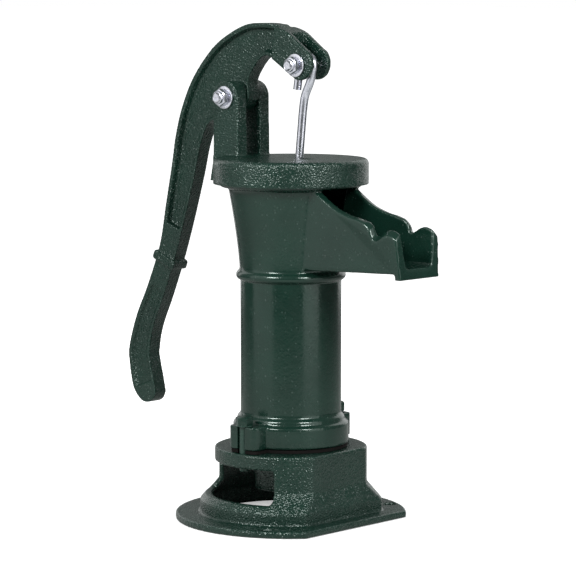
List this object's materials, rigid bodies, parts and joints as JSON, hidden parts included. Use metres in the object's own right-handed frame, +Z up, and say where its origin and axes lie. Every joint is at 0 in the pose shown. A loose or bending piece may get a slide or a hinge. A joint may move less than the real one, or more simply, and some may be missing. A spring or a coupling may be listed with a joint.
{
  "type": "hand well pump",
  "caption": "Cast iron pitcher pump: a lever on a swivelling cap lifts a hooked rod and plunger in a barrel, and water leaves by an open trough spout.",
  "frame": {"origin": "middle of the pump's outline in X and Y, on the plane that the foot stands on", "axes": "+X out of the spout, +Z up, the lever's handle hangs on the -X side; the barrel's axis is at x = 0.02449"},
  "size_m": [0.333, 0.1962, 0.4192],
  "materials": {
    "green_enamel_rough": "dark green enamel over grainy cast iron",
    "green_enamel_smooth": "dark green enamel, smooth and glossy",
    "painted_bolt": "dark green enamel",
    "zinc_plate": "bright zinc plating",
    "bare_iron": "bare machined iron",
    "leather": "oiled leather",
    "brass": "turned brass"
  },
  "bodies": {
    "stand": {"base": "green_enamel_rough", "valve_leather": "leather", "pump_body": "green_enamel_smooth", "base_bolt_near": "painted_bolt", "base_bolt_far": "painted_bolt"},
    "cap": {"cap": "green_enamel_rough", "cap_set_screw": "zinc_plate", "fulcrum_bolt": "zinc_plate", "fulcrum_nut": "zinc_plate", "fulcrum_washer_head": "zinc_plate", "fulcrum_washer_nut": "zinc_plate"},
    "lever": {"lever": "green_enamel_rough", "rod_bolt": "zinc_plate", "rod_nut": "zinc_plate", "rod_washer_head": "zinc_plate", "rod_washer_nut": "zinc_plate"},
    "rod": {"piston_rod": "zinc_plate"},
    "plunger": {"cup_leather": "leather", "plunger_cage": "bare_iron", "plunger_follower": "bare_iron", "plunger_pin": "zinc_plate", "plunger_cotter": "zinc_plate"},
    "poppet": {"plunger_poppet": "brass"},
    "foot_valve": {"valve_flap": "leather", "flap_weight": "bare_iron", "flap_screw": "brass", "flap_washer": "brass"}
  },
  "joints": [
    {"name": "cap_swivel", "type": "hinge", "parent": "stand", "child": "cap", "pos_m": [0.02449, 0, 0.2943], "axis": [0, 0, 1], "range_deg": [-150, 150]},
    {"name": "lever_pivot", "type": "hinge", "parent": "cap", "child": "lever", "pos_m": [-0.03311, 0, 0.356], "axis": [0, 1, 0], "range_deg": [0, 38]},
    {"name": "rod_pivot", "type": "hinge", "parent": "lever", "child": "rod", "pos_m": [0.04199, 0, 0.3844], "axis": [0, 1, 0], "range_deg": [-38, 0]},
    {"name": "plunger_slide", "type": "slide", "parent": "cap", "child": "plunger", "axis": [0, 0, 1], "range_m": [-0.0525, 0]},
    {"name": "poppet_lift", "type": "slide", "parent": "plunger", "child": "poppet", "axis": [0, 0, 1], "range_m": [0, 0.003]},
    {"name": "foot_valve_lift", "type": "hinge", "parent": "stand", "child": "foot_valve", "pos_m": [-0.00871, 0, 0.0647], "axis": [0, -1, 0], "range_deg": [0, 25]}
  ],
  "couplings": [
    {"joint": "rod_pivot", "follows": "lever_pivot", "ratio": -1},
    {"joint": "plunger_slide", "follows": "lever_pivot", "m_per_rad": -0.0788}
  ]
}
